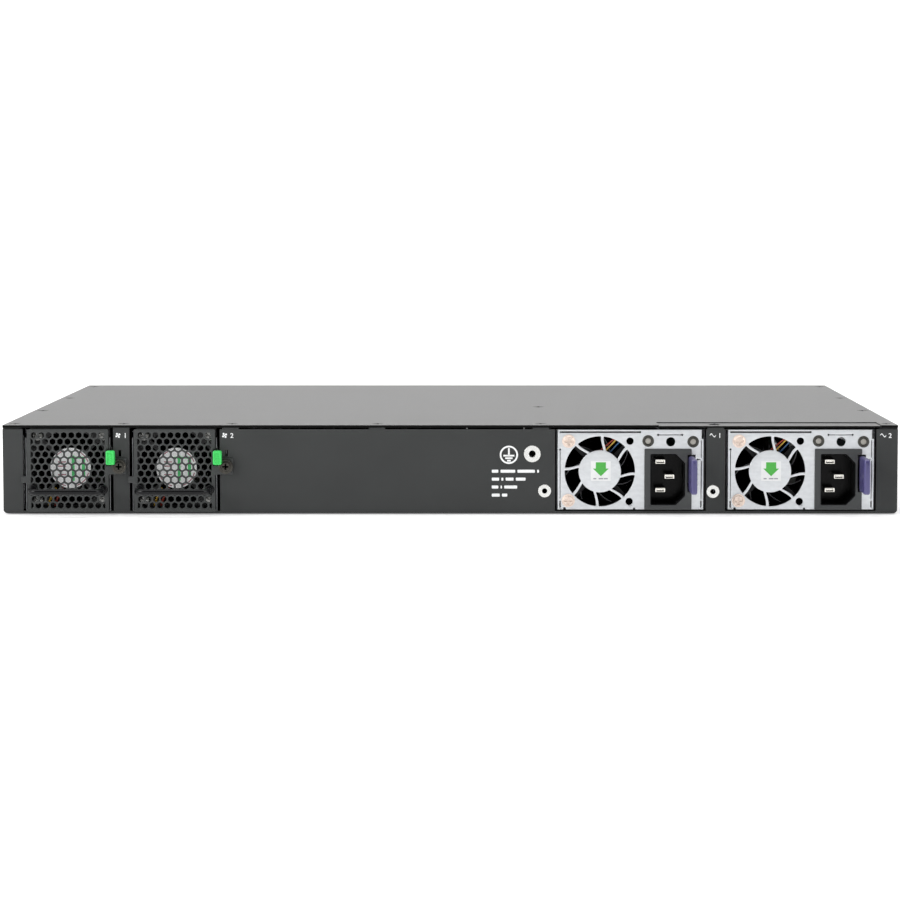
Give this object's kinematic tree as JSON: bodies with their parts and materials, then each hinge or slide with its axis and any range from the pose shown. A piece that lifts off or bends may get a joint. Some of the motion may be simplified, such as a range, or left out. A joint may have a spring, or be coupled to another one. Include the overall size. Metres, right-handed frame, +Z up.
{
  "type": "rackmount network switch",
  "caption": "One-unit rack network switch with plug-in fan modules and plug-in power supplies at the rear, and stacked data jacks and optical cages at the front.",
  "frame": {"origin": "centre of the whole box, at its lowest level, where the chassis stands", "axes": "+X to the right seen from the rear, +Y from the rear wall towards the front ports, +Z up"},
  "size_m": [0.44, 0.3348, 0.044],
  "materials": {
    "chassis_paint": "dark grey fine-textured powder coat",
    "cover_paint": "grey fine-textured powder coat",
    "bezel_paint": "dark grey powder coat",
    "screw_black": "black zinc with a cross recess",
    "bright_steel": "zinc-plated, fine grain",
    "galvanised": "galvanised sheet, soft spangle",
    "board_green": "solder mask",
    "brass_plate": "turned brass",
    "port_steel": "tin-plated sheet",
    "contact_gold": "gold flash",
    "light_clear": "clear moulded plastic",
    "chip_black": "moulded epoxy",
    "sink_aluminium": "extruded",
    "black_plastic": "moulded, fine texture",
    "grille_paint": "dark grey powder coat",
    "handle_black": "glossy black coat",
    "latch_green": "bright green moulding",
    "screw_steel": "dark nickel",
    "plug_white": "natural nylon",
    "psu_steel": "bright zinc plate",
    "lead_wire": "insulated leads in three colours",
    "inlet_plastic": "dark grey moulding",
    "blade_nickel": "nickel plate",
    "lever_purple": "violet moulding",
    "screw_brass": "yellow zinc",
    "collar_grey": "dark collar",
    "button_grey": "moulded"
  },
  "bodies": {
    "chassis": {"chassis_tray": "chassis_paint", "rear_panel": "chassis_paint", "top_cover": "cover_paint", "rear_top_strip": "cover_paint", "front_bezel": "bezel_paint", "front_grille": "grille_paint", "cover_screws": "screw_black", "panel_inserts": "bright_steel", "bay_walls": "galvanised", "main_board": "board_green", "board_standoffs": "brass_plate", "board_screws": "screw_steel", "rj45_blocks": "port_steel", "rj45_contacts": "contact_gold", "sfp_cages": "port_steel", "management_ports": "port_steel", "light_pipes": "light_clear", "board_chips": "chip_black", "heatsink": "sink_aluminium", "power_board": "board_green", "module_sockets": "black_plastic"},
    "reset_button": {"reset_button": "button_grey"},
    "fan1_module": {"fan1_face": "grille_paint", "fan1_tray": "galvanised", "fan1_handle": "handle_black", "fan1_frame": "black_plastic", "fan1_plug": "plug_white"},
    "fan1_latch": {"fan1_latch": "latch_green"},
    "fan1_screw": {"fan1_screw": "screw_steel"},
    "fan1_rotor": {"fan1_rotor": "black_plastic"},
    "fan2_module": {"fan2_face": "grille_paint", "fan2_tray": "galvanised", "fan2_handle": "handle_black", "fan2_frame": "black_plastic", "fan2_plug": "plug_white"},
    "fan2_latch": {"fan2_latch": "latch_green"},
    "fan2_screw": {"fan2_screw": "screw_steel"},
    "fan2_rotor": {"fan2_rotor": "black_plastic"},
    "psu1_module": {"psu1_case": "psu_steel", "psu1_face": "psu_steel", "psu1_fan_frame": "black_plastic", "psu1_fan_leads": "lead_wire", "psu1_inlet": "inlet_plastic", "psu1_inlet_pins": "blade_nickel", "psu1_board": "board_green", "psu1_screws": "screw_brass", "psu1_indicators": "collar_grey"},
    "psu1_lever": {"psu1_lever": "lever_purple"},
    "psu1_rotor": {"psu1_fan_rotor": "black_plastic"},
    "psu2_module": {"psu2_case": "psu_steel", "psu2_face": "psu_steel", "psu2_fan_frame": "black_plastic", "psu2_fan_leads": "lead_wire", "psu2_inlet": "inlet_plastic", "psu2_inlet_pins": "blade_nickel", "psu2_board": "board_green", "psu2_screws": "screw_brass", "psu2_indicators": "collar_grey"},
    "psu2_lever": {"psu2_lever": "lever_purple"},
    "psu2_rotor": {"psu2_fan_rotor": "black_plastic"}
  },
  "joints": [
    {"name": "reset_press", "type": "slide", "parent": "chassis", "child": "reset_button", "axis": [0, -1, 0], "range_m": [0, 0.0008], "stiffness_N_per_m": 800},
    {"name": "fan1_slide", "type": "slide", "parent": "chassis", "child": "fan1_module", "axis": [0, -1, 0], "range_m": [0, 0.1]},
    {"name": "fan1_latch_press", "type": "slide", "parent": "fan1_module", "child": "fan1_latch", "axis": [-1, 0, 0], "range_m": [0, 0.0012], "stiffness_N_per_m": 800},
    {"name": "fan1_screw_turn", "type": "hinge", "parent": "fan1_module", "child": "fan1_screw", "pos_m": [-0.1627, -0.1434, 0.0238], "axis": [0, 1, 0], "continuous": true},
    {"name": "fan1_spin", "type": "hinge", "parent": "fan1_module", "child": "fan1_rotor", "pos_m": [-0.1879, -0.1234, 0.0222], "axis": [0, 1, 0], "continuous": true},
    {"name": "fan2_slide", "type": "slide", "parent": "chassis", "child": "fan2_module", "axis": [0, -1, 0], "range_m": [0, 0.1]},
    {"name": "fan2_latch_press", "type": "slide", "parent": "fan2_module", "child": "fan2_latch", "axis": [-1, 0, 0], "range_m": [0, 0.0012], "stiffness_N_per_m": 800},
    {"name": "fan2_screw_turn", "type": "hinge", "parent": "fan2_module", "child": "fan2_screw", "pos_m": [-0.1103, -0.1434, 0.0238], "axis": [0, 1, 0], "continuous": true},
    {"name": "fan2_spin", "type": "hinge", "parent": "fan2_module", "child": "fan2_rotor", "pos_m": [-0.1355, -0.1234, 0.0222], "axis": [0, 1, 0], "continuous": true},
    {"name": "psu1_slide", "type": "slide", "parent": "chassis", "child": "psu1_module", "axis": [0, -1, 0], "range_m": [0, 0.195]},
    {"name": "psu1_lever_press", "type": "hinge", "parent": "psu1_module", "child": "psu1_lever", "pos_m": [0.1184, -0.1134, 0.02], "axis": [0, 0, -1], "range_deg": [0, 2.5], "stiffness_Nm_per_rad": 1},
    {"name": "psu1_spin", "type": "hinge", "parent": "psu1_module", "child": "psu1_rotor", "pos_m": [0.0735, -0.1284, 0.0213], "axis": [0, 1, 0], "continuous": true},
    {"name": "psu2_slide", "type": "slide", "parent": "chassis", "child": "psu2_module", "axis": [0, -1, 0], "range_m": [0, 0.195]},
    {"name": "psu2_lever_press", "type": "hinge", "parent": "psu2_module", "child": "psu2_lever", "pos_m": [0.2021, -0.1134, 0.02], "axis": [0, 0, -1], "range_deg": [0, 2.5], "stiffness_Nm_per_rad": 1},
    {"name": "psu2_spin", "type": "hinge", "parent": "psu2_module", "child": "psu2_rotor", "pos_m": [0.1572, -0.1284, 0.0213], "axis": [0, 1, 0], "continuous": true}
  ]
}
